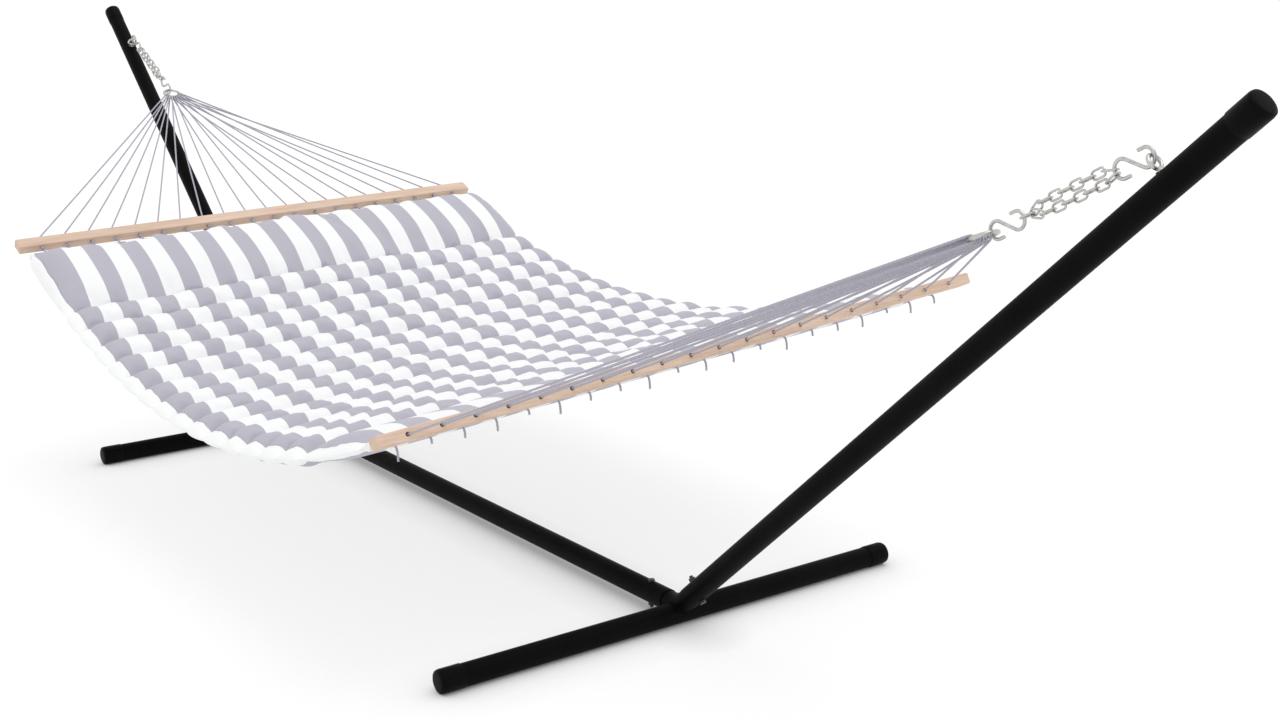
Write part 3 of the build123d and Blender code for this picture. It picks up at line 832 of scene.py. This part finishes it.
stitchPath = bpy.data.meshes.new("stitchPath")
rowsOfPoints = stitchLines()
pathEdges, count = [], 0
for line in rowsOfPoints:
    pathEdges += [(count + step, count + step + 1) for step in range(len(line) - 1)]
    count += len(line)
stitchPath.from_pydata(np.concatenate(rowsOfPoints).tolist(), pathEdges, [])
stitchValues = {name.title(): stitches[name] for name in ("pitch", "length", "thread")}
stitchValues["Material"] = materials["white_binding"]
stitchBaked = bakeNodes("stitching", stitchPath, stitchTree(), stitchValues)
addPiece("stitching", stitchBaked, "white_binding", "hammock", [])
print("stitches made", len(stitchBaked.polygons))


# End caps, a thin sleeve with a well rounded end

lean = math.radians(41.3)  # of the uprights
caps = {
    "tube": 0.0240, "sleeve": 0.0252, "length": 0.055, "end": 0.003, "round": 0.009, "roundSteps": 8,
    "lip": 0.0003, "lipRun": 0.0009, "dome": ((0.6, 0.0004), (0.2, 0.0006)), "sides": 64,
}


def capParts(tip, axis):  # tip is the middle of the tube's end, axis points out of it
    edge = np.linspace(0, math.pi / 2, caps["roundSteps"])
    flat = caps["sleeve"] - caps["round"]
    mouth = [caps["tube"], caps["sleeve"] - caps["lip"], caps["sleeve"]]
    crown = [flat * share for share, rise in caps["dome"]]
    reach = np.concatenate([mouth, flat + caps["round"] * np.cos(edge), crown])
    mouthAlong = np.array((0, caps["lip"], caps["lipRun"])) + caps["end"] - caps["length"]
    crownAlong = [caps["end"] + rise for share, rise in caps["dome"]]
    roundAlong = caps["end"] - caps["round"] + caps["round"] * np.sin(edge)
    along = np.concatenate([mouthAlong, roundAlong, crownAlong])
    slant = (0.3, 0.2, 0.9)  # along none of the tubes
    sideways = unit(np.cross(axis, slant))
    other = np.cross(axis, sideways)
    turn = np.arange(caps["sides"]) / caps["sides"] * 2 * math.pi
    spokes = np.cos(turn)[:, None] * sideways + np.sin(turn)[:, None] * other
    points = tip + along[:, None, None] * axis + reach[:, None, None] * spokes
    return points.reshape(-1, 3), tubeFaces(len(along), caps["sides"])


def tubeTip(node, axis):
    placing = np.array(nodes[node].matrix_world)
    corners = meshPoints(nodes[node].data) @ placing[:3, :3].T + placing[:3, 3]
    along = corners @ axis
    return corners[along > along.max() - 1e-4].mean(axis=0)


capList = []
for end in (near, far):
    leaning = (end.side * math.cos(lean), 0, math.sin(lean))
    for tube, axis in (("foot_", (0, 1, 0)), ("foot_", (0, -1, 0)), ("upright_", leaning)):
        axis = np.array(axis, float)
        capList.append(capParts(tubeTip(tube + end.name, axis), axis))
capNodes = ["foot_caps_near", "foot_caps_far", "top_cap_near", "top_cap_far"]
addPiece("endCaps", meshFrom("endCaps", *joined(capList)), "cap_plastic", "stand", capNodes)
print("caps made")


# Weld beads round the elbows on the feet

weld = {
    "foot": 0.024, "elbow": 0.0222, "bend": 0.090, "bead": 0.0030, "ripple": 0.0005, "pitch": 0.0042,
    "from": -40, "to": 220, "points": 400, "skirt": 0.0015, "sides": 10, "stepsPerPitch": 6,
}


def weldLines(name):
    low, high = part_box("foot_" + name)
    footX, footZ = (low[0] + high[0]) / 2, low[2] + weld["foot"]
    side = 1 if footX > 0 else -1
    tangent = weld["bend"] * math.tan(lean / 2)
    heart = np.array((-tangent, middle("beam")[2] + weld["bend"]))
    turn = np.radians(np.linspace(weld["from"], weld["to"], weld["points"]))
    x, z = weld["foot"] * np.cos(turn), footZ + weld["foot"] * np.sin(turn)
    away = np.abs(np.hypot(x - heart[0], z - heart[1]) - weld["bend"])
    inside = away < weld["elbow"] - weld["skirt"]
    out = np.sqrt(weld["elbow"] ** 2 - away[inside] ** 2)
    return [np.stack([footX + side * x[inside], hand * out, z[inside]], axis=1) for hand in (1, -1)]


def beadParts(line):
    step = weld["pitch"] / weld["stepsPerPitch"]
    return tubeParts(line, weld["bead"], weld["sides"], lay=weld["pitch"], step=step, ripple=weld["ripple"])


beads = [beadParts(line) for name in ("near", "far") for line in weldLines(name)]
addPiece("footWelds", meshFrom("footWelds", *joined(beads)), "powder_coat", "stand", [])
print("welds made")


# Camera, floor and light

view = {
    "place": (3.6968, -2.0970, 1.4363), "right": (0.59029, 0.80714, -0.00925),
    "up": (-0.18881, 0.14920, 0.97061), "ahead": (-0.78480, 0.57120, -0.24047), "lens": 48.07,
}
# the floor's glow is painted light that keeps cast shadows pale, and the contact distance sets how far the painted
# contact shadow reaches
light = {
    "dome": 0.94, "key": 0.70, "keySpread": 40.0, "keyFrom": (0.18, 0.18, 1.0),
    "floor": 0.34, "floorHalf": 120.0, "glow": 0.66, "contact": 0.13,
}


def makeCamera():
    data = bpy.data.cameras.new("camera")
    data.lens = view["lens"]
    data.sensor_width = 36.0
    data.clip_end = 400
    camera = addObject("camera", data)
    back = -Vector(view["ahead"])
    turned = Matrix((view["right"], view["up"], back)).transposed().to_4x4()
    camera.matrix_world = Matrix.Translation(view["place"]) @ turned
    bpy.context.scene.camera = camera


def makeFloor():
    half = light["floorHalf"]
    corners = [(-half, -half, 0), (half, -half, 0), (half, half, 0), (-half, half, 0)]
    mesh = meshFrom("floor", corners, [(0, 1, 2, 3)])
    material, tree, shader = newMaterial("paleFloor")
    paintedContactShade = addNode(tree, "ShaderNodeAmbientOcclusion", {"Distance": light["contact"]}).outputs["AO"]
    tone = (light["floor"], light["floor"], light["floor"], 1)
    setInputs(tree, shader, {
        "Base Color": tone, "Roughness": 0.9, "Specular IOR Level": 0.0, "Emission Color": (1, 1, 1, 1),
        "Emission Strength": maths(tree, "MULTIPLY", paintedContactShade, light["glow"]),  # the glow is painted light that keeps cast shadows pale; occlusion dims it near touching parts as a painted contact shadow
    })
    mesh.materials.append(material)
    addObject("floor", mesh)


def makeLight():
    lamp = bpy.data.lights.new("key", "SUN")
    lamp.energy = light["key"]
    lamp.angle = math.radians(light["keySpread"])
    key = addObject("key", lamp)
    key.rotation_euler = (-Vector(light["keyFrom"])).to_track_quat("-Z", "Y").to_euler()
    world = bpy.data.worlds.new("studio")
    bpy.context.scene.world = world
    world.use_nodes = True
    backdrop = world.node_tree.nodes["Background"]
    setInputs(world.node_tree, backdrop, {"Color": (1, 1, 1, 1), "Strength": light["dome"]})
    bpy.context.scene.view_settings.view_transform = "Standard"


makeCamera()
makeFloor()
makeLight()
